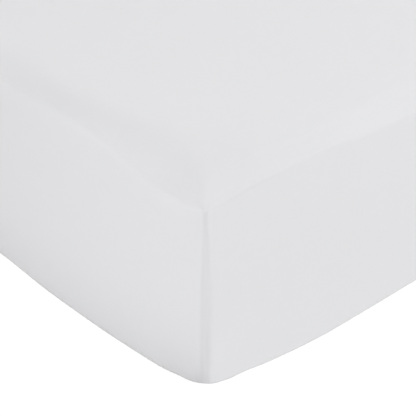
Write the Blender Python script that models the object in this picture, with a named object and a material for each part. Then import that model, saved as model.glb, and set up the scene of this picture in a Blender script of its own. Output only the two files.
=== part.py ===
"""A white fitted sheet stretched over a plain double mattress.

The sheet is one thin cloth: a top panel, four walls, a sewn crease down each
corner and a hem that is tucked flat under the mattress all round. It is open
underneath. The mattress is a plain rounded pad that fills it.

Both are built from level rings. A ring is a rounded rectangle that runs once
round the bed, and the tables below say how far it lies inside the side planes,
how high it is and how round its corners are. Metres, +Z up, foot end at -Y.
"""

from collections import namedtuple

import bmesh
import bpy
import numpy as np

MM = 0.001

# Driving sizes
WIDTH = 1.350
LENGTH = 1.900
EDGE_HEIGHT = 0.309
CROWN = 0.003
CLOTH = 0.002
CLEARANCE = 0.0003
EDGE_CLEARANCE = 0.0024
CORNER_CLEARANCE = 0.0040
CORNER_REACH = 0.045

# Lower part of the walls, which leans in and turns under
TURN_IN = 0.047
TURN_HEIGHT = 0.150
CORNER_LIFT = 0.0057
LIFT_REACH = 0.110

# Sewn crease down each corner
SEAM_DEPTH = 0.0015
SEAM_HALF_WIDTH = 0.0045

HALF_W = WIDTH / 2
HALF_L = LENGTH / 2

# Where the columns of the mesh stand, as distances from a corner in millimetres
END_COLUMNS = (4, 10, 20, 36, 60, 95, 135, 185, 260, 370, 510)
SIDE_COLUMNS = (4, 10, 20, 36, 60, 95, 135, 185, 260, 370, 520, 720)

# The upper edge, from a corner to the middle of an end or a side, in millimetres:
# width of the slope that leads off the top, and how far down its crisp lower line is
Edge = namedtuple("Edge", "along slope drop")
END_EDGE = (
    Edge(0, 34, 29),
    Edge(35, 34, 36),
    Edge(70, 33, 35),
    Edge(105, 33, 29),
    Edge(140, 34, 22),
    Edge(180, 34, 16),
    Edge(230, 36, 11),
    Edge(300, 41, 8),
    Edge(420, 46, 9),
    Edge(675, 44, 12),
)
SIDE_EDGE = (
    Edge(0, 34, 29),
    Edge(30, 31, 27),
    Edge(60, 28, 21),
    Edge(100, 26, 20),
    Edge(170, 26, 21),
    Edge(240, 28, 24),
    Edge(320, 34, 24),
    Edge(480, 38, 22),
    Edge(950, 36, 20),
)

# How far the elastic draws the turned-under cloth in, from a corner along an end
# and along a side, in millimetres
Pull = namedtuple("Pull", "along end side")
PULLS = (
    Pull(0, 22, 22),
    Pull(40, 13, 26),
    Pull(80, 4, 16),
    Pull(130, 1, 10),
    Pull(200, -3, 5),
    Pull(300, -5, 6),
    Pull(420, 2, 8),
    Pull(950, 0, 0),
)

# Rings of the top panel: distance inside the side planes and corner radius
Crown = namedtuple("Crown", "inset radius")
CROWN_RINGS = (
    Crown(0.600, 0.075),
    Crown(0.380, 0.150),
    Crown(0.190, 0.150),
    Crown(0.090, 0.130),
)

# In the next three tables `room` is the share of the edge clearance that the
# cloth keeps to the mattress there

# Rings of the sloping upper edge: share of its width and of its drop, corner radius
Slope = namedtuple("Slope", "across down radius room")
SLOPE_RINGS = (
    Slope(0.00, 0.000, 0.105, 0.0),
    Slope(0.30, 0.075, 0.084, 0.4),
    Slope(0.58, 0.420, 0.058, 0.9),
    Slope(0.90, 0.870, 0.024, 1.0),
)

# Rings of the wall: share of the height from its upper line to the turn, how far
# inside the side plane it lies and corner radius
Wall = namedtuple("Wall", "down inset radius room")
WALL_RINGS = (
    Wall(0.00, 0.0010, 0.010, 1.0),
    Wall(0.20, 0.0000, 0.012, 0.8),
)

# Rings of the turn under the mattress: shares of its height and of its depth
# under the bed, corner radius
Turn = namedtuple("Turn", "height inward radius room")
TURN_RINGS = (
    Turn(1.000, 0.000, 0.012, 0.0),
    Turn(0.790, 0.024, 0.013, 0.2),
    Turn(0.570, 0.095, 0.015, 0.4),
    Turn(0.370, 0.205, 0.019, 0.6),
    Turn(0.210, 0.330, 0.026, 0.8),
    Turn(0.107, 0.440, 0.036, 1.0),
    Turn(0.053, 0.545, 0.048, 1.0),
    Turn(0.020, 0.720, 0.058, 0.5),
    Turn(0.000, 1.000, 0.066, 0.0),
)

# Rings of the hem tucked flat underneath: distance inside the side planes, corner
# radius, share of the corner's pull and of its lift that is left
Hem = namedtuple("Hem", "inset radius pull lift")
HEM_RINGS = (
    Hem(0.084, 0.110, 0.8, 0.50),
    Hem(0.132, 0.230, 0.0, 0.10),
)

# Rings that carry the mattress's underside on, level, to its middle
BASE_RINGS = (
    Crown(0.300, 0.230),
    Crown(0.450, 0.180),
    Crown(0.600, 0.075),
)


def clear_scene():
    """Remove every object that is in the file."""
    for item in list(bpy.data.objects):
        bpy.data.objects.remove(item, do_unlink=True)


def smooth_curve(where, stations, values):
    """A cubic Hermite curve through a table, level at both ends and at each peak.

    Elsewhere its slope is the harmonic mean of the two neighbouring steps'
    slopes, so that the curve never overshoots the table.
    """
    stations = np.asarray(stations, float)
    values = np.asarray(values, float)
    steps = np.diff(stations)
    secants = np.diff(values) / steps
    before, after = secants[:-1], secants[1:]
    same_sign = before * after > 0
    weight_before, weight_after = steps[:-1] + 2 * steps[1:], 2 * steps[:-1] + steps[1:]
    divisor = np.where(same_sign, weight_before * after + weight_after * before, 1.0)
    mean = (weight_before + weight_after) * before * after / divisor
    slopes = np.zeros_like(values)
    slopes[1:-1] = np.where(same_sign, mean, 0.0)
    where = np.clip(where, stations[0], stations[-1])
    cell = np.clip(np.searchsorted(stations, where, side="right") - 1, 0, len(stations) - 2)
    step = stations[cell + 1] - stations[cell]
    t = (where - stations[cell]) / step
    return (
        values[cell] * (1 + 2 * t) * (1 - t) ** 2
        + slopes[cell] * step * t * (1 - t) ** 2
        + values[cell + 1] * t * t * (3 - 2 * t)
        + slopes[cell + 1] * step * t * t * (t - 1)
    )


class Columns:
    """The upright lines of the mesh, once round the bed from the foot's middle.

    `along` is a column's distance from its corner, negative on an end and
    positive on a side, and `sx`, `sy` say which corner that is.
    """

    def __init__(self):
        end = [-HALF_W] + [-d * MM for d in reversed(END_COLUMNS)]
        side = [d * MM for d in SIDE_COLUMNS] + [HALF_L]
        rising = end + [0.0] + side[:-1]
        falling = side[::-1] + [0.0] + end[:0:-1]
        corners = (((1, -1), rising), ((1, 1), falling), ((-1, 1), rising), ((-1, -1), falling))
        self.along = np.array([t for _, run in corners for t in run])
        self.sx = np.array([sign[0] for sign, run in corners for _ in run], float)
        self.sy = np.array([sign[1] for sign, run in corners for _ in run], float)
        distance = np.abs(self.along)
        on_end = self.along < 0
        self.slope = MM * self.pick(on_end, distance, END_EDGE, SIDE_EDGE, "slope")
        self.drop = MM * self.pick(on_end, distance, END_EDGE, SIDE_EDGE, "drop")
        stations = [row.along * MM for row in PULLS]
        self.pull = MM * np.where(
            on_end,
            smooth_curve(distance, stations, [row.end for row in PULLS]),
            smooth_curve(distance, stations, [row.side for row in PULLS]),
        )
        self.lift = CORNER_LIFT * np.exp(-((distance / LIFT_REACH) ** 2))
        self.seam = np.clip(1 - distance / SEAM_HALF_WIDTH, 0, 1)

    @staticmethod
    def pick(on_end, distance, end_rows, side_rows, name):
        """One column of the edge tables, read along an end or along a side."""
        ends, sides = (
            smooth_curve(distance, [r.along * MM for r in rows], [getattr(r, name) for r in rows])
            for rows in (end_rows, side_rows)
        )
        return np.where(on_end, ends, sides)

    def ring(self, inset, height, radius):
        """One level ring: points (columns, 3) of a rounded rectangle.

        Each corner's arc is shared evenly by the columns on both sides of the
        corner's own column, which stands at the arc's middle.
        """
        inset = np.broadcast_to(inset, self.along.shape)
        arc = radius * np.pi / 4
        straight_end = HALF_W - inset - radius
        straight_side = HALF_L - inset - radius
        run_end = np.abs(self.along) / HALF_W * (straight_end + arc)
        run_side = np.abs(self.along) / HALF_L * (straight_side + arc)
        on_end = self.along < 0
        run = np.where(on_end, run_end, run_side)
        turn = np.minimum(run, arc) / radius
        angle = np.pi / 4 + np.where(on_end, turn, -turn)
        beyond = np.maximum(run - arc, 0)
        x = straight_end + radius * np.cos(angle) - np.where(on_end, beyond, 0)
        y = straight_side + radius * np.sin(angle) - np.where(on_end, 0, beyond)
        z = np.broadcast_to(height, self.along.shape)
        return np.stack([self.sx * x, self.sy * y, z], axis=1)


def crown_height(inset):
    """The top panel rises gently towards its middle."""
    return EDGE_HEIGHT + CROWN * (1 - (1 - np.minimum(inset / HALF_W, 1)) ** 2)


def outer_rings(columns, seam_depth):
    """The cloth's outer face, ring by ring from the top's middle to the hem's edge."""
    rings = [columns.ring(row.inset, crown_height(row.inset), row.radius) for row in CROWN_RINGS]
    for row in SLOPE_RINGS:
        inset = columns.slope * (1 - row.across)
        height = crown_height(inset) - columns.drop * row.down
        rings.append(columns.ring(inset, height, row.radius))
    wall_top = EDGE_HEIGHT - columns.drop
    wall_foot = TURN_HEIGHT + columns.lift
    for row in WALL_RINGS:
        height = wall_top + (wall_foot - wall_top) * row.down
        crease = seam_depth * columns.seam * min(1.0, 4 * row.down)
        rings.append(columns.ring(row.inset + crease, height, row.radius))
    for row in TURN_RINGS:
        inset = (TURN_IN + columns.pull) * row.inward + seam_depth * columns.seam
        height = columns.lift + TURN_HEIGHT * row.height
        rings.append(columns.ring(inset, height, row.radius))
    for row in HEM_RINGS:
        rings.append(columns.ring(row.inset + row.pull * columns.pull, row.lift * columns.lift, row.radius))
    return np.array(rings)


def grid_normals(rings):
    """Outward normals of a grid of rings, from its differences both ways."""
    around = np.roll(rings, -1, axis=1) - np.roll(rings, 1, axis=1)
    down = np.gradient(rings, axis=0)
    normals = np.cross(down, around)
    return normals / np.linalg.norm(normals, axis=2, keepdims=True)


def join_rings(mesh, upper, lower):
    """Fill the band between two rings with triangles, all split the same way.

    Cloth and pad are split alike, so their facets stay parallel.
    """
    for i in range(len(upper)):
        j = (i + 1) % len(upper)
        mesh.faces.new((upper[i], lower[i], lower[j]))
        mesh.faces.new((upper[i], lower[j], upper[j]))


def add_grid(mesh, rings):
    """Put a grid of rings into a mesh, and return its vertices by ring."""
    rows = [[mesh.verts.new(point) for point in ring] for ring in rings]
    for upper, lower in zip(rows, rows[1:]):
        join_rings(mesh, upper, lower)
    return rows


def close_ring(mesh, ring):
    """Close a ring across its middle, joining each vertex to its mirror image."""
    half = len(ring) // 2
    for i in range(half):
        a, b = ring[i], ring[i + 1]
        c, d = ring[-(i + 1)], ring[-i]
        if c is not b:
            mesh.faces.new((a, b, c))
        if d is not a:
            mesh.faces.new((a, c, d))


def add_object(name, mesh, material):
    """Turn the bmesh into a named object with its faces pointing out."""
    bmesh.ops.recalc_face_normals(mesh, faces=mesh.faces)
    data = bpy.data.meshes.new(name)
    mesh.to_mesh(data)
    mesh.free()
    data.materials.append(material)
    data.shade_smooth()
    item = bpy.data.objects.new(name, data)
    bpy.context.scene.collection.objects.link(item)
    return item


def make_material(name, color, roughness):
    """A plain dielectric material."""
    material = bpy.data.materials.new(name)
    material.use_nodes = True
    shader = material.node_tree.nodes["Principled BSDF"]
    shader.inputs["Base Color"].default_value = (*color, 1.0)
    shader.inputs["Roughness"].default_value = roughness
    shader.inputs["Metallic"].default_value = 0.0
    return material


def build_sheet(columns, material):
    """The cloth: its outer face, its inner face one cloth thickness in, and the hem's edge."""
    outer = outer_rings(columns, SEAM_DEPTH)
    inner = outer - CLOTH * grid_normals(outer)
    mesh = bmesh.new()
    outer_rows = add_grid(mesh, outer)
    inner_rows = add_grid(mesh, inner)
    close_ring(mesh, outer_rows[0])
    close_ring(mesh, inner_rows[0])
    join_rings(mesh, outer_rows[-1], inner_rows[-1])
    return add_object("fitted_sheet", mesh, material)


def build_mattress(columns, material):
    """The pad inside the cloth, with a plain level underside."""
    outer = outer_rings(columns, 0.0)
    near_corner = np.exp(-((columns.along / CORNER_REACH) ** 2))
    edge_rows = SLOPE_RINGS + WALL_RINGS + TURN_RINGS
    room = [0.0] * len(CROWN_RINGS) + [row.room for row in edge_rows] + [0.0] * len(HEM_RINGS)
    gap = (
        CLOTH
        + CLEARANCE
        + EDGE_CLEARANCE * np.array(room)[:, None]
        + CORNER_CLEARANCE * near_corner[None, :]
    )
    pad = outer - gap[:, :, None] * grid_normals(outer)
    base_height = float(pad[-1, :, 2].min())
    base = [columns.ring(row.inset, base_height, row.radius) for row in BASE_RINGS]
    mesh = bmesh.new()
    rows = add_grid(mesh, np.concatenate([pad, np.array(base)]))
    close_ring(mesh, rows[0])
    close_ring(mesh, rows[-1])
    return add_object("mattress", mesh, material)


def main():
    clear_scene()
    columns = Columns()
    percale = make_material("white cotton percale", (0.76, 0.76, 0.775), 0.85)
    ticking = make_material("off-white cotton ticking", (0.70, 0.68, 0.63), 0.90)
    bed = bpy.data.objects.new("bed", None)
    bpy.context.scene.collection.objects.link(bed)
    build_sheet(columns, percale).parent = bed
    build_mattress(columns, ticking).parent = bed


main()
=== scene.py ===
"""Looks of a white fitted sheet stretched over a double mattress.

Every form is a grid of level rings, from the middle of the top down the walls
and under. A ring is a rounded rectangle round the bed. Columns of the grid run
down the walls, closest together beside the crease sewn down each corner.
"""

import math
from collections import namedtuple

import bpy
import numpy as np
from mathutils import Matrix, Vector


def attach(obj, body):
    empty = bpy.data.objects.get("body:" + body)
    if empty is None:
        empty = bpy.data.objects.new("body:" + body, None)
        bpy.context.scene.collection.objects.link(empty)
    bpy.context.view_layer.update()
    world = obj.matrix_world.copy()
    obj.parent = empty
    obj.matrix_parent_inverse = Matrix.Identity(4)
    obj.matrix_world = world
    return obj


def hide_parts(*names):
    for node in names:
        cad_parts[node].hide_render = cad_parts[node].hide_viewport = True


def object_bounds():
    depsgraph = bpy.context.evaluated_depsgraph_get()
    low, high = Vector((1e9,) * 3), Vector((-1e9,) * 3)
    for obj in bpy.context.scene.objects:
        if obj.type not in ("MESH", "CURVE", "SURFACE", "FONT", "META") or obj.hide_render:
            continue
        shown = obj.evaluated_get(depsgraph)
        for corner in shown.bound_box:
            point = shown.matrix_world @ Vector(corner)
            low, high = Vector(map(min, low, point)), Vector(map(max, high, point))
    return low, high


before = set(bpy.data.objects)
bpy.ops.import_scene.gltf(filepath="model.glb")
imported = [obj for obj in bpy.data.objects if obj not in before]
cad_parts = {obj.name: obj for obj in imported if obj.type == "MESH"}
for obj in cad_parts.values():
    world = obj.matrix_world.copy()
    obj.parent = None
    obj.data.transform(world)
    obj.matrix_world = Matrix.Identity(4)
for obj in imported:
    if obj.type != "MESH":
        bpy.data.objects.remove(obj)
cad_low, cad_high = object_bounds()

MM = 0.001

# Sizes from the frame
WIDTH = cad_high.x - cad_low.x
LENGTH = cad_high.y - cad_low.y
HALF_W = WIDTH / 2
HALF_L = LENGTH / 2

# Top panel
CROWN = 0.003
EDGE_HEIGHT = 0.309

# Cloth: thickness of the shell, and the flat piece it is cut from, 2.15 x 2.70 m
# with a square of the wall's depth cut out of each corner
CLOTH = 0.0012

# Mattress: its distance inside the cloth's outer face
PAD_GAP = 0.0036

# Lower part of the walls, which leans in and turns under
TURN_IN = 0.047
TURN_HEIGHT = 0.150
CORNER_LIFT = 0.0057
LIFT_REACH = 0.110

# Grid: finest and widest spacing of the columns, how fast it grows away from a corner,
# and more columns than half a side takes; how closely rings follow each other; and which
# rings of the cloth's inner face and columns of the mattress are kept, as one in so many
FINE_STEP = 0.0008
WIDE_STEP = 0.0058
STEP_GROWTH = 1.13
MOST_COLUMNS = 400
SHEET_FINENESS = 12.0
INNER_SKIP = 5
PAD_FINENESS = 8.0
PAD_SKIP = 3

# The upper edge, from a corner to the middle of an end or a side, in millimetres:
# width of the slope that leads off the top, and how far down its lower line is
Edge = namedtuple("Edge", "along slope drop")
END_EDGE = (
    Edge(0, 56, 29),
    Edge(35, 50, 36),
    Edge(70, 43, 35),
    Edge(105, 38, 29),
    Edge(140, 36, 22),
    Edge(180, 35, 16),
    Edge(230, 37, 13),
    Edge(300, 43, 13),
    Edge(420, 46, 12),
    Edge(675, 44, 12),
)
SIDE_EDGE = (
    Edge(0, 56, 29),
    Edge(30, 46, 28),
    Edge(60, 36, 24),
    Edge(100, 29, 23),
    Edge(170, 26, 22),
    Edge(240, 29, 27),
    Edge(320, 35, 28),
    Edge(480, 38, 25),
    Edge(950, 36, 22),
)

# How far the elastic draws the turned-under cloth in, in millimetres
Pull = namedtuple("Pull", "along end side")
PULLS = (
    Pull(0, 21.5, 21.5),
    Pull(20, 18.5, 26),
    Pull(40, 13, 24.5),
    Pull(80, 4, 16),
    Pull(130, 1, 10),
    Pull(200, -3, 5),
    Pull(300, -5, 6),
    Pull(420, 2, 8),
    Pull(950, 0, 0),
)

# The slope's lower line is crisp along the sides and rounded along the ends, where
# `soft` in the next tables is how much further in a ring lies. It has its full size
# this far from a corner, and none at the corner
SOFT_REACH = 0.080

# Rings that the surface passes through: distance inside the side planes and corner
# radius on the top; shares of the slope's width and drop; share of the wall's height;
# shares of the turn's height and depth; the hem, with the share of pull and lift; and
# the mattress's underside
Crown = namedtuple("Crown", "inset radius")
CROWN_RINGS = (
    Crown(0.600, 0.075),
    Crown(0.380, 0.150),
    Crown(0.190, 0.150),
    Crown(0.090, 0.130),
)
Slope = namedtuple("Slope", "across down radius soft")
SLOPE_RINGS = (
    Slope(0.00, 0.000, 0.075, 0.0000),
    Slope(0.26, 0.120, 0.045, 0.0000),
    Slope(0.58, 0.470, 0.020, 0.0015),
    Slope(0.92, 0.900, 0.008, 0.0048),
    Slope(0.98, 0.975, 0.006, 0.0051),
)
Wall = namedtuple("Wall", "down inset radius soft")
WALL_RINGS = (
    Wall(0.000, 0.0004, 0.0050, 0.0049),
    Wall(0.012, 0.0000, 0.0050, 0.0041),
    Wall(0.035, 0.0000, 0.0051, 0.0025),
    Wall(0.070, 0.0000, 0.0053, 0.0012),
    Wall(0.200, 0.0000, 0.0060, 0.0000),
)
Turn = namedtuple("Turn", "height inward radius")
TURN_RINGS = (
    Turn(1.000, 0.000, 0.011),
    Turn(0.790, 0.024, 0.012),
    Turn(0.570, 0.095, 0.011),
    Turn(0.370, 0.205, 0.011),
    Turn(0.210, 0.330, 0.023),
    Turn(0.107, 0.440, 0.036),
    Turn(0.053, 0.545, 0.048),
    Turn(0.020, 0.720, 0.058),
    Turn(0.000, 1.000, 0.066),
)
Hem = namedtuple("Hem", "inset radius pull lift")
HEM_RINGS = (
    Hem(0.084, 0.110, 0.8, 0.50),
    Hem(0.132, 0.230, 0.0, 0.10),
)
BASE_RINGS = (
    Crown(0.300, 0.230),
    Crown(0.450, 0.180),
    Crown(0.600, 0.075),
)

# Crease down each corner: depth, half width and how far it strays on to the end's wall,
# where it starts and lower down; the heights between which it starts, widens and ends;
# and its low lips, as a share of its depth and as half widths from its middle
Crease = namedtuple("Crease", "depth half_width stray")
CREASE_TOP = Crease(0.0007, 0.0009, 0.0)
CREASE_LOW = Crease(0.0016, 0.0034, 0.0010)
CREASE_STARTS = (0.276, 0.284)
CREASE_WIDENS = (0.170, 0.250)
CREASE_ENDS = (0.040, 0.120)
LIP_SHARE = 0.05
LIP_OFFSET = 3.2

# Gathers that the elastic makes in the hem, and the distances from its edge between
# which they fade. Their drift, as a share of the pitch, and their size vary in waves,
# so many round the bed
GATHER_PITCH = 0.036
GATHER_HEIGHT = 0.0016
GATHER_FADES = (0.010, 0.105)
Wave = namedtuple("Wave", "height turns phase")
GATHER_DRIFTS = (Wave(0.35, 11, 0.0), Wave(0.22, 23, 1.1))
GATHER_SIZES = Wave(0.38, 17, 0.4)

# Uneven tension of the cloth: its height, its two skew waves, in radians per metre, and
# the heights between which it fades towards the hem
SLACK_HEIGHT = 0.0005
Skew = namedtuple("Skew", "x y z phase")
SLACK_WAVES = (Skew(9.1, 5.3, 4.0, 0.0), Skew(-7.9, 6.7, 11.0, 1.3))
SLACK_FADES = (0.020, 0.120)

# Hem's fold and its stitches, whose tips are cut off by this share of their length
HEM_FOLD = 0.012
STITCH_PITCH = 0.0042
STITCH_LENGTH = 0.0032
STITCH_WIDTH = 0.0007
STITCH_TIP = 0.04
STITCH_SIDES = 4
STITCH_SECTIONS = 3

# Percale: spacing of its threads, which in truth are 0.25 mm apart, drawn coarser so
# that they show; how far they stand up; width, length and height, as a share of the
# threads' own, of a thread's thick places; and from thin to thick places, the sum of
# their two noises, the colour and the roughness
THREAD_PITCH = 0.0007
THREAD_RELIEF = 0.00002
SLUB_WIDTH = 0.0010
SLUB_LENGTH = 0.030
SLUB_SHARE = 0.4
SLUB_RANGE = (0.6, 1.4)
PERCALE_COLOURS = ("e3e3e5", "e5e5e7")
PERCALE_ROUGHNESS = (0.94, 0.86)

# Twill of the ticking, and the thread's plies, drawn as one: spacing and relief of the
# lines, the colours between which it is flecked, and the roughness of the lines' crests
Twill = namedtuple("Twill", "pitch relief colours roughness")
TICKING_TWILL = Twill(0.0016, 0.00010, ("cfc8b8", "e2dccd"), 0.86)
THREAD_TWILL = Twill(0.0005, 0.00006, ("dadadd", "f0f0f2"), 0.52)

# Any twill: how much rougher its grooves are; a fleck's size, in pitches; how much of
# the lines is added to the flecks, and the sums that have the two colours; and the angle
# that a diagonal wave texture of scale 1 turns through in a metre
GROOVE_ROUGHNESS = 0.06
FLECK_PITCHES = 4
LINE_SHARE = 0.4
FLECK_RANGE = (0.3, 1.0)
DIAGONAL_TURN = 14.14

# Camera, from the foot of the near corner, which is the one at +X and -Y
CAMERA_OFFSET = Vector((0.734, -0.6574, 0.8803))
CAMERA_TURN = math.radians(48.03)
CAMERA_PITCH = math.radians(31.13)
CAMERA_LENS = 103.85

# Studio: the floor's level, its radius and the radius in which it curves up into a wall;
# radius of the flat piece in its middle; and points up the curve and round the floor
FLOOR_LEVEL = -0.0008
FLOOR_REACH = 22.0
FLOOR_CURVE = 6.0
FLOOR_MIDDLE = 0.01
CURVE_POINTS = 10
FLOOR_POINTS = 48

# Light: large far lights as soft suns, and two soft lamps near the corner, in a room
# with no light of its own. All shine at the middle of that corner's height. Azimuth 0 is
# before the foot and 90 beside +X; strengths are in W/m2 for a sun and in W for a lamp
LIGHT_AIM = Vector((HALF_W, -HALF_L, 0.15))
SUN_WIDTH = math.radians(40)
Sun = namedtuple("Sun", "name azimuth elevation strength")
SUNS = (
    Sun("ceiling light behind", 180, 65, 1.03),
    Sun("ceiling light before", -30, 65, 0.52),
    Sun("window right", 90, 20, 1.97),
    Sun("window left", -60, 20, 1.30),
    Sun("window behind left", -150, 20, 0.74),
    Sun("wall light behind left", -150, 0, 0.77),
    Sun("wall light left", -90, 0, 0.64),
    Sun("floor light behind right", 150, -35, 1.60),
    Sun("floor light before", 0, -35, 1.32),
    Sun("floor light below", 0, -90, 0.34),
)
LAMP_SIZE = 0.8
Lamp = namedtuple("Lamp", "name azimuth elevation distance power")
LAMPS = (
    Lamp("low lamp before the corner", 0, 5, 1.1, 4.14),
    Lamp("lamp beside the corner", 130, 30, 1.8, 3.92),
)


def spline(where, stations, values, level_ends=False):
    """A smooth curve through values[i] at stations[i] that never overshoots them.

    Cubic Hermite, with each slope the harmonic mean of the two neighbouring
    steps' slopes, or nil where these differ in sign. Values may be rows of any
    shape, which are then all carried along the curve.
    """
    stations = np.asarray(stations, float)
    values = np.asarray(values, float)
    steps = np.diff(stations).reshape((-1,) + (1,) * (values.ndim - 1))
    secants = np.diff(values, axis=0) / steps
    before, after = secants[:-1], secants[1:]
    same_sign = before * after > 0
    weight_before, weight_after = steps[:-1] + 2 * steps[1:], 2 * steps[:-1] + steps[1:]
    divisor = np.where(same_sign, weight_before * after + weight_after * before, 1)
    mean = (weight_before + weight_after) * before * after / divisor
    slopes = np.zeros_like(values)
    slopes[1:-1] = np.where(same_sign, mean, 0)
    if not level_ends:
        slopes[0], slopes[-1] = secants[0], secants[-1]
    where = np.clip(where, stations[0], stations[-1])
    cell = np.clip(np.searchsorted(stations, where, side="right") - 1, 0, len(stations) - 2)
    step = stations[cell + 1] - stations[cell]
    t = (where - stations[cell]) / step
    wide = t.shape + (1,) * (values.ndim - 1)
    t, step = t.reshape(wide), step.reshape(wide)
    return (
        values[cell] * (1 + 2 * t) * (1 - t) ** 2
        + slopes[cell] * step * t * (1 - t) ** 2
        + values[cell + 1] * t * t * (3 - 2 * t)
        + slopes[cell + 1] * step * t * t * (t - 1)
    )


def fade(x, start, end):
    """0 before start and 1 after end, with a smooth step between."""
    t = np.clip((x - start) / (end - start), 0, 1)
    return t * t * (3 - 2 * t)


def table_curve(distance, rows, name):
    """One column of a table, in metres, as a curve over the distance from a corner."""
    stations = [row.along * MM for row in rows]
    return MM * spline(distance, stations, [getattr(row, name) for row in rows], level_ends=True)


def column_distances(length, skip):
    """Distances from a corner to the middle of a side: steps that grow, then stay even."""
    steps = np.minimum(FINE_STEP * STEP_GROWTH ** np.arange(MOST_COLUMNS), WIDE_STEP)
    reached = np.cumsum(steps)[skip - 1 :: skip]
    count = int(np.searchsorted(reached, length))
    return reached[:count] * length / reached[count - 1]


class Columns:
    """Upright lines of the grid, once round the bed from the middle of the foot.

    `along` is the distance from a column's corner, negative on an end and
    positive on a side; `sx` and `sy` are that corner's signs.
    """

    def __init__(self, skip=1):
        end = -column_distances(HALF_W, skip)[::-1]
        side = column_distances(HALF_L, skip)
        rising = np.concatenate([end, [0.0], side[:-1]])
        falling = np.concatenate([side[::-1], [0.0], end[:0:-1]])
        runs = ((1, -1, rising), (1, 1, falling), (-1, 1, rising), (-1, -1, falling))
        self.along = np.concatenate([run for _, _, run in runs])
        self.sx = np.concatenate([np.full(len(run), float(sx)) for sx, _, run in runs])
        self.sy = np.concatenate([np.full(len(run), float(sy)) for _, sy, run in runs])
        self.on_end = self.along < 0
        self.distance = np.abs(self.along)
        self.slope = self.either((END_EDGE, "slope"), (SIDE_EDGE, "slope"))
        self.drop = self.either((END_EDGE, "drop"), (SIDE_EDGE, "drop"))
        self.pull = self.either((PULLS, "end"), (PULLS, "side"))
        self.lift = CORNER_LIFT * np.exp(-((self.distance / LIFT_REACH) ** 2))
        self.soft = np.where(self.on_end, fade(self.distance, 0, SOFT_REACH), 0)

    def either(self, end, side):
        """One column of a table read along the ends, and one along the sides."""
        ends, sides = [table_curve(self.distance, rows, name) for rows, name in (end, side)]
        return np.where(self.on_end, ends, sides)

    def ring(self, inset, height, radius):
        """A level rounded rectangle, `inset` inside the side planes.

        A column's place along it is its share of the quarter's length, straight
        part and half arc, so that the corner's own column is at the arc's middle.
        """
        arc = radius * math.pi / 4
        straight_end = HALF_W - inset - radius
        straight_side = HALF_L - inset - radius
        run = np.where(
            self.on_end,
            self.distance / HALF_W * (straight_end + arc),
            self.distance / HALF_L * (straight_side + arc),
        )
        turn = np.minimum(run, arc) / radius
        angle = math.pi / 4 + np.where(self.on_end, turn, -turn)
        beyond = np.maximum(run - arc, 0)
        x = straight_end + radius * np.cos(angle) - np.where(self.on_end, beyond, 0)
        y = straight_side + radius * np.sin(angle) - np.where(self.on_end, 0, beyond)
        z = np.broadcast_to(height, x.shape)
        return np.stack([self.sx * x, self.sy * y, z], axis=1)


def crown_height(inset):
    """The top rises as a parabola from the side planes to its middle."""
    return EDGE_HEIGHT + CROWN * (1 - (1 - np.minimum(inset / HALF_W, 1)) ** 2)


def main_rings(columns):
    """The rings that the tables name, from the top's middle to the hem's edge."""
    rings = [columns.ring(row.inset, crown_height(row.inset), row.radius) for row in CROWN_RINGS]
    for row in SLOPE_RINGS:
        inset = columns.slope * (1 - row.across)
        height = crown_height(inset) - columns.drop * row.down
        rings.append(columns.ring(inset + columns.soft * row.soft, height, row.radius))
    wall_top = EDGE_HEIGHT - columns.drop
    wall_foot = TURN_HEIGHT + columns.lift
    for row in WALL_RINGS:
        height = wall_top + (wall_foot - wall_top) * row.down
        rings.append(columns.ring(row.inset + columns.soft * row.soft, height, row.radius))
    for row in TURN_RINGS:
        inset = (TURN_IN + columns.pull) * row.inward
        rings.append(columns.ring(inset, columns.lift + TURN_HEIGHT * row.height, row.radius))
    for row in HEM_RINGS:
        inset = row.inset + row.pull * columns.pull
        rings.append(columns.ring(inset, row.lift * columns.lift, row.radius))
    return np.array(rings)


def refine(rings, fineness):
    """More rings: a spline through the given ones, close together where they are.

    Two given rings have the square root of their mean distance, times the
    fineness, steps between them, which puts more steps where the section bends.
    """
    gaps = np.linalg.norm(np.diff(rings, axis=0), axis=2).mean(axis=1)
    stations = np.concatenate([[0], np.cumsum(gaps)])
    steps = np.maximum(np.round(fineness * gaps**0.5), 1).astype(int)
    counts = np.concatenate([[0], np.cumsum(steps)])
    where = np.interp(np.arange(counts[-1] + 1), counts, stations)
    return spline(where, stations, rings)


def grid_normals(rings):
    """Outward normals: the cross product of the grid's differences down and around."""
    around = np.roll(rings, -1, axis=1) - np.roll(rings, 1, axis=1)
    down = np.gradient(rings, axis=0)
    normals = np.cross(down, around)
    return normals / np.linalg.norm(normals, axis=2, keepdims=True)


def run_down(rings):
    """Length of each column from the first ring down to each ring."""
    steps = np.linalg.norm(np.diff(rings, axis=0), axis=2)
    return np.concatenate([np.zeros((1, rings.shape[1])), np.cumsum(steps, axis=0)])


def run_round(ring):
    """Share of the way round a ring at which each column stands, and the whole way's length."""
    steps = np.linalg.norm(np.roll(ring, -1, axis=0) - ring, axis=1)
    length = steps.sum()
    return (np.cumsum(steps) - steps) / length, length


def corner_crease(columns, rings):
    """A bell-shaped furrow with low lips down each corner, which widens downwards and ends."""
    height = rings[:, :, 2]
    high = fade(height, *CREASE_WIDENS)
    present = (1 - fade(height, *CREASE_STARTS)) * fade(height, *CREASE_ENDS)
    pairs = zip(CREASE_LOW, CREASE_TOP)
    depth, half_width, stray = [low + (top - low) * high for low, top in pairs]
    offset = np.abs(columns.along + stray) / half_width
    lips = LIP_SHARE * np.exp(-((offset - LIP_OFFSET) ** 2) / 2)
    return depth * present * (lips - np.exp(-(offset**2)))


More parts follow.
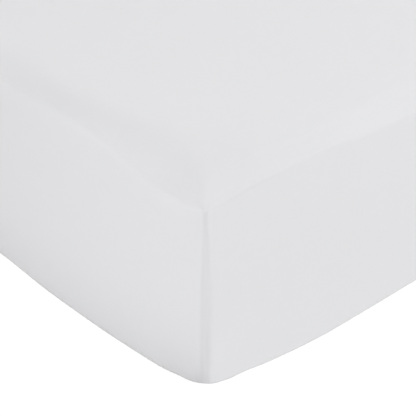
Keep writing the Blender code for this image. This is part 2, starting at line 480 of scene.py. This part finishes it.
def hem_gathers(rings):
    """Waves that push the hem up off the floor, higher towards its edge.

    A raised cosine over the way round, whose pitch drifts with two slow sines
    and whose size varies with a third, so that no two waves are alike.
    """
    share, length = run_round(rings[-1])

    def sway(wave):
        return wave.height * np.sin(math.tau * wave.turns * share + wave.phase)

    turns = round(length / GATHER_PITCH) * share + sum(sway(wave) for wave in GATHER_DRIFTS)
    size = 1 - GATHER_SIZES.height + sway(GATHER_SIZES)
    waves = (0.5 - 0.5 * np.cos(math.tau * turns)) * size
    down = run_down(rings)
    return -GATHER_HEIGHT * waves * (1 - fade(down[-1] - down, *GATHER_FADES))


def quads(rows, columns, first=0):
    """Corner numbers of the quads between rings of vertices that close on themselves."""
    ring = np.arange(columns)
    after = np.roll(ring, -1)
    row = np.arange(rows - 1)[:, None] * columns + first
    below = row + columns
    return np.stack([row + ring, below + ring, below + after, row + after], 2).reshape(-1, 4)


def mirror_cap(columns, first=0):
    """Quads across a ring, from each vertex to its mirror image on the other side."""
    step = np.arange(1, columns // 2 - 1)
    return first + np.stack([step, step + 1, columns - step - 1, columns - step], 1)


def mirror_ends(columns, first=0):
    """The two triangles that finish the cap at the foot's and the head's middle."""
    half = columns // 2
    return first + np.array([[0, 1, columns - 1], [half - 1, half, half + 1]])


def put_mesh(name, points, faces):
    """A smooth mesh object from an array of points and arrays of faces of one size each."""
    data = bpy.data.meshes.new(name)
    data.from_pydata(points.reshape(-1, 3), [], [face for part in faces for face in part.tolist()])
    data.update()
    data.shade_smooth()
    item = bpy.data.objects.new(name, data)
    bpy.context.scene.collection.objects.link(item)
    return item


def closed_faces(rows, columns):
    """Faces of a closed form whose rings run from one cap round to another."""
    last = (rows - 1) * columns
    return [
        quads(rows, columns),
        mirror_cap(columns),
        mirror_ends(columns),
        mirror_cap(columns, last)[:, ::-1],
        mirror_ends(columns, last)[:, ::-1],
    ]


def cloth_places(columns, rings):
    """Where each point of the cloth lay in the flat cloth: as part of an end, and of a side.

    A point's own x and y, moved outwards by the length that its column has run
    down or back in: the sum of its steps, less their level part outwards.
    """
    steps = np.diff(rings, axis=0)
    outwards = np.sign(np.diff(np.abs(rings[:, :, :2]).sum(axis=2), axis=0))
    extra = np.linalg.norm(steps, axis=2) - outwards * np.linalg.norm(steps[:, :, :2], axis=2)
    extra = np.concatenate([np.zeros((1, len(columns.along))), np.cumsum(extra, axis=0)])
    x, y = rings[:, :, 0], rings[:, :, 1]
    as_end = np.stack([x, y + columns.sy * extra], axis=2)
    as_side = np.stack([x + columns.sx * extra, y], axis=2)
    return as_end, as_side


def lay_cloth_map(item, columns, as_end, as_side, faces):
    """The UV map `cloth`, in metres of flat cloth, cut only down the four sewn corners."""
    by_end = columns.on_end | np.roll(columns.on_end, -1)
    walls, *caps = [np.repeat(np.ones(len(part), bool), part.shape[1]) for part in faces]
    walls &= np.repeat(np.resize(by_end, len(faces[0])), faces[0].shape[1])
    use_end = np.concatenate([walls, *caps])[:, None]
    points = np.concatenate([part.ravel() for part in faces])
    places = np.where(use_end, as_end.reshape(-1, 2)[points], as_side.reshape(-1, 2)[points])
    layer = item.data.uv_layers.new(name="cloth")
    layer.data.foreach_set("uv", places.astype(np.float32).ravel())


def uneven_tension(rings):
    """Broad, hardly visible hollows: the product of two slow skew waves, nil at the hem."""
    first, second = [np.sin(rings @ wave[:3] + wave.phase) for wave in SLACK_WAVES]
    return SLACK_HEIGHT * first * second * fade(rings[:, :, 2], *SLACK_FADES)


def make_sheet():
    """The cloth, a closed shell round the hem's edge to an inner face, and its stitches."""
    columns = Columns()
    outer = refine(main_rings(columns), SHEET_FINENESS)
    relief = corner_crease(columns, outer) + hem_gathers(outer) + uneven_tension(outer)
    outer = outer + relief[:, :, None] * grid_normals(outer)
    normals = grid_normals(outer)

    def with_inner(outside, inside):
        return np.concatenate([outside, inside[::-1][::INNER_SKIP]])

    rings = with_inner(outer, outer - CLOTH * normals)
    faces = closed_faces(len(rings), len(columns.along))
    sheet = put_mesh("stretched_sheet", rings, faces)
    as_end, as_side = [with_inner(part, part) for part in cloth_places(columns, outer)]
    lay_cloth_map(sheet, columns, as_end, as_side, faces)
    return sheet, make_stitches(outer, normals)


def make_stitches(outer, normals):
    """A row of stitches that holds the folded hem: spindles end to end round the bed.

    A spindle's radius is the square root of the sine of its share of the
    length, and the row runs one fold's width in from the hem's edge.
    """
    down = run_down(outer)
    wanted = down[-1] - HEM_FOLD
    row = np.argmax(down >= wanted, axis=0)
    pick = np.arange(outer.shape[1])
    before, after = down[row - 1, pick], down[row, pick]
    share = ((wanted - before) / (after - before))[:, None]
    line = outer[row - 1, pick] * (1 - share) + outer[row, pick] * share
    line = np.concatenate([line, line[:1]])
    out = np.concatenate([normals[row, pick], normals[row[:1], pick[:1]]])
    run = np.concatenate([[0], np.cumsum(np.linalg.norm(np.diff(line, axis=0), axis=1))])
    count = int(run[-1] / STITCH_PITCH)
    middle = (np.arange(count) + 0.5) * run[-1] / count

    def read(values, where):
        return np.stack([np.interp(where, run, values[:, k]) for k in range(3)], axis=1)

    tangent = read(line, middle + STITCH_LENGTH / 4) - read(line, middle - STITCH_LENGTH / 4)
    tangent /= np.linalg.norm(tangent, axis=1, keepdims=True)
    up = read(out, middle)
    up /= np.linalg.norm(up, axis=1, keepdims=True)
    across = np.cross(tangent, up)
    places = np.linspace(STITCH_TIP, 1 - STITCH_TIP, STITCH_SECTIONS)
    radius = STITCH_WIDTH / 2 * np.sin(math.pi * places) ** 0.5
    turn = np.arange(STITCH_SIDES) * math.tau / STITCH_SIDES
    forward = (places[:, None] - 0.5) * STITCH_LENGTH * np.ones(STITCH_SIDES)
    sideways = radius[:, None] * np.cos(turn)
    upwards = radius[:, None] * np.sin(turn)
    shape = np.stack([forward, sideways, upwards], axis=2).reshape(-1, 3)
    frames = np.stack([tangent, across, up], axis=1)
    points = read(line, middle)[:, None, :] + np.einsum("pk,skx->spx", shape, frames)
    size = STITCH_SIDES * STITCH_SECTIONS
    firsts = (np.arange(count) * size)[:, None, None]
    sides = (firsts + quads(STITCH_SECTIONS, STITCH_SIDES)).reshape(-1, 4)
    ring = np.arange(STITCH_SIDES)
    ends = (firsts + np.stack([ring, size - 1 - ring])).reshape(-1, STITCH_SIDES)
    return put_mesh("hem_stitches", points, [sides, ends])


def make_mattress():
    """The plain pad that fills the cloth, level underneath.

    The cloth's form, shrunk about its middle by the gap on each side.
    """
    columns = Columns(PAD_SKIP)
    outer = refine(main_rings(columns), PAD_FINENESS)
    low, high = outer.min(axis=(0, 1)), outer.max(axis=(0, 1))
    middle = (low + high) / 2
    pad = middle + (outer - middle) * (1 - 2 * PAD_GAP / (high - low))
    level = float(pad[-1, :, 2].min())
    base = [columns.ring(row.inset, level, row.radius) for row in BASE_RINGS]
    rings = np.concatenate([pad, np.array(base)])
    return put_mesh("mattress_pad", rings, closed_faces(len(rings), len(columns.along)))


def linear(code):
    """Linear colour of an sRGB hex code."""
    shares = [int(code[i : i + 2], 16) / 255 for i in (0, 2, 4)]
    return [c / 12.92 if c <= 0.04045 else ((c + 0.055) / 1.055) ** 2.4 for c in shares] + [1.0]


def add(tree, kind, settings=(), links=()):
    """Add a node, with settings by attribute, socket or colour stops, and links into its sockets.

    A link comes from a socket, or from a node's first output.
    """
    node = tree.nodes.new(kind)
    for key, value in dict(settings).items():
        if key == "stops":
            for stop, (place, code) in zip(node.color_ramp.elements, value):
                stop.position = place
                stop.color = linear(code)
        elif isinstance(key, int) or key in node.inputs:
            node.inputs[key].default_value = value
        else:
            setattr(node, key, value)
    for key, source in dict(links).items():
        tree.links.new(getattr(source, "outputs", [source])[0], node.inputs[key])
    return node


def new_material(name, finish, look):
    """A material whose Principled shader has the given plain values and the links of its look."""
    material = bpy.data.materials.new(name)
    material.use_nodes = True
    tree = material.node_tree
    shader = tree.nodes["Principled BSDF"]
    for key, value in finish.items():
        shader.inputs[key].default_value = value
    for key, source in look(tree).items():
        tree.links.new(source.outputs[0], shader.inputs[key])
    return material


def percale_look(tree):
    """A chequer of crossing threads, the product of two sines, and thick places along both."""
    cloth = add(tree, "ShaderNodeUVMap", {"uv_map": "cloth"})
    turn = {"operation": "SCALE", "Scale": math.pi / THREAD_PITCH}
    angle = add(tree, "ShaderNodeVectorMath", turn, {0: cloth})
    angles = add(tree, "ShaderNodeSeparateXYZ", links={0: angle}).outputs
    warp = add(tree, "ShaderNodeMath", {"operation": "SINE"}, {0: angles["X"]})
    weft = add(tree, "ShaderNodeMath", {"operation": "SINE"}, {0: angles["Y"]})
    weave = add(tree, "ShaderNodeMath", {"operation": "MULTIPLY"}, {0: warp, 1: weft})
    across, along = 1 / SLUB_WIDTH, 1 / SLUB_LENGTH
    slubs = []
    for scale in ((across, along, 1), (along, across, 1)):
        place = add(tree, "ShaderNodeMapping", {"Scale": scale}, {"Vector": cloth})
        slubs.append(add(tree, "ShaderNodeTexNoise", {"Scale": 1, "Detail": 1}, {"Vector": place}))
    thick = add(tree, "ShaderNodeMath", {"operation": "ADD"}, {0: slubs[0], 1: slubs[1]})
    raised = {"operation": "MULTIPLY_ADD", 1: SLUB_SHARE}
    relief = add(tree, "ShaderNodeMath", raised, {0: thick, 2: weave})
    spread = dict(zip(("From Min", "From Max"), SLUB_RANGE))
    shade = add(tree, "ShaderNodeMapRange", spread, {"Value": thick})
    whites = {"stops": zip((0, 1), PERCALE_COLOURS)}
    matt = dict(zip(("To Min", "To Max"), PERCALE_ROUGHNESS))
    return {
        "Base Color": add(tree, "ShaderNodeValToRGB", whites, {0: shade}),
        "Roughness": add(tree, "ShaderNodeMapRange", matt, {"Value": shade}),
        "Normal": add(tree, "ShaderNodeBump", {"Distance": THREAD_RELIEF}, {"Height": relief}),
    }


def percale():
    """Woven cotton percale, bleached.

    A matt plain weave: to the eye a smooth, slightly cool white, from close by
    a fine chequer, with a faint bloom of fibre ends where it turns away.
    """
    finish = {"Specular IOR Level": 0.25, "Sheen Weight": 0.06, "Sheen Roughness": 0.5}
    return new_material("woven cotton percale, bleached", finish, percale_look)


def twill_look(tree, twill):
    """Slanting lines, one pitch apart, in colours that vary from fleck to fleck."""
    place = add(tree, "ShaderNodeTexCoord").outputs["Object"]
    scale = math.tau / (DIAGONAL_TURN * twill.pitch)
    wave = {"bands_direction": "DIAGONAL", "Scale": scale, "Distortion": 0.5}
    lines = add(tree, "ShaderNodeTexWave", wave, {"Vector": place}).outputs["Fac"]
    flecks = {"Scale": 1 / (FLECK_PITCHES * twill.pitch), "Detail": 3}
    fleck = add(tree, "ShaderNodeTexNoise", flecks, {"Vector": place})
    mix = {"operation": "MULTIPLY_ADD", 1: LINE_SHARE}
    shade = add(tree, "ShaderNodeMath", mix, {0: lines, 2: fleck})
    stops = {"stops": zip(FLECK_RANGE, twill.colours)}
    matt = {"To Min": twill.roughness + GROOVE_ROUGHNESS, "To Max": twill.roughness}
    return {
        "Base Color": add(tree, "ShaderNodeValToRGB", stops, {0: shade}),
        "Roughness": add(tree, "ShaderNodeMapRange", matt, {"Value": lines}),
        "Normal": add(tree, "ShaderNodeBump", {"Distance": twill.relief}, {"Height": lines}),
    }


def ticking():
    """Woven cotton ticking, unbleached: a close matt twill, which shows as fine slanting lines."""
    return new_material(
        "woven cotton ticking, unbleached",
        {"Specular IOR Level": 0.25},
        lambda tree: twill_look(tree, TICKING_TWILL),
    )


def sewing_thread():
    """Spun polyester thread, white: its slanting plies shine a little more than the cloth."""
    return new_material(
        "spun polyester sewing thread, white",
        {"Sheen Weight": 0.10},
        lambda tree: twill_look(tree, THREAD_TWILL),
    )


def aim(item, azimuth, elevation):
    """Turn a camera or a light to look from that side, and return the way there."""
    level = math.cos(elevation)
    away = Vector((math.sin(azimuth) * level, -math.cos(azimuth) * level, math.sin(elevation)))
    item.rotation_euler = away.to_track_quat("Z", "Y").to_euler()
    return away


def make_camera():
    """The photograph's camera."""
    data = bpy.data.cameras.new("camera")
    data.lens = CAMERA_LENS
    item = bpy.data.objects.new("camera", data)
    item.location = Vector((HALF_W, -HALF_L, 0)) + CAMERA_OFFSET
    aim(item, CAMERA_TURN, CAMERA_PITCH)
    bpy.context.scene.collection.objects.link(item)
    bpy.context.scene.camera = item


def make_floor():
    """A white floor that curves up into a round wall, lit so evenly that no shadow shows on it.

    The profile, level to its reach and then a quarter circle, is turned round
    the upright axis.
    """
    rise = np.linspace(0, math.pi / 2, CURVE_POINTS)
    radii = np.concatenate([[FLOOR_MIDDLE], FLOOR_REACH + FLOOR_CURVE * np.sin(rise)])
    heights = np.concatenate([[0], FLOOR_CURVE * (1 - np.cos(rise))])
    turn = np.arange(FLOOR_POINTS) * math.tau / FLOOR_POINTS
    x = radii[:, None] * np.cos(turn)
    y = radii[:, None] * np.sin(turn)
    z = FLOOR_LEVEL + heights[:, None] + 0 * turn
    rings = np.stack([x, y, z], axis=2)
    middle = np.arange(len(turn))[None]
    floor = put_mesh("floor", rings, [quads(len(radii), len(turn)), middle])
    finish = {"Base Color": (0, 0, 0, 1), "Emission Color": (1, 1, 1, 1), "Emission Strength": 1.0}
    floor.data.materials.append(new_material("white floor, lit evenly", finish, lambda tree: {}))
    floor.visible_diffuse = False
    floor.visible_glossy = False
    floor.visible_shadow = False


def put_light(row, kind, **values):
    """A light of the table, turned to shine from its azimuth and elevation."""
    data = bpy.data.lights.new(row.name, kind)
    for key, value in values.items():
        setattr(data, key, value)
    light = bpy.data.objects.new(row.name, data)
    away = aim(light, math.radians(row.azimuth), math.radians(row.elevation))
    light.location = LIGHT_AIM + away * getattr(row, "distance", FLOOR_REACH)
    light.visible_camera = False
    bpy.context.scene.collection.objects.link(light)


def make_lights():
    """The dark room, the soft suns and the lamps."""
    world = bpy.data.worlds.new("studio")
    world.use_nodes = True
    world.node_tree.nodes["Background"].inputs["Strength"].default_value = 0
    bpy.context.scene.world = world
    for row in SUNS:
        put_light(row, "SUN", energy=row.strength, angle=SUN_WIDTH)
    for row in LAMPS:
        put_light(row, "AREA", energy=row.power, shape="DISK", size=LAMP_SIZE)


make_camera()

sheet, stitches = make_sheet()
sheet.data.materials.append(percale())
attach(sheet, "root")
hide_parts("fitted_sheet")
stitches.data.materials.append(sewing_thread())
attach(stitches, "root")

mattress = make_mattress()
mattress.data.materials.append(ticking())
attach(mattress, "root")
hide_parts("mattress")

make_floor()
make_lights()
bpy.context.scene.view_settings.view_transform = "Standard"
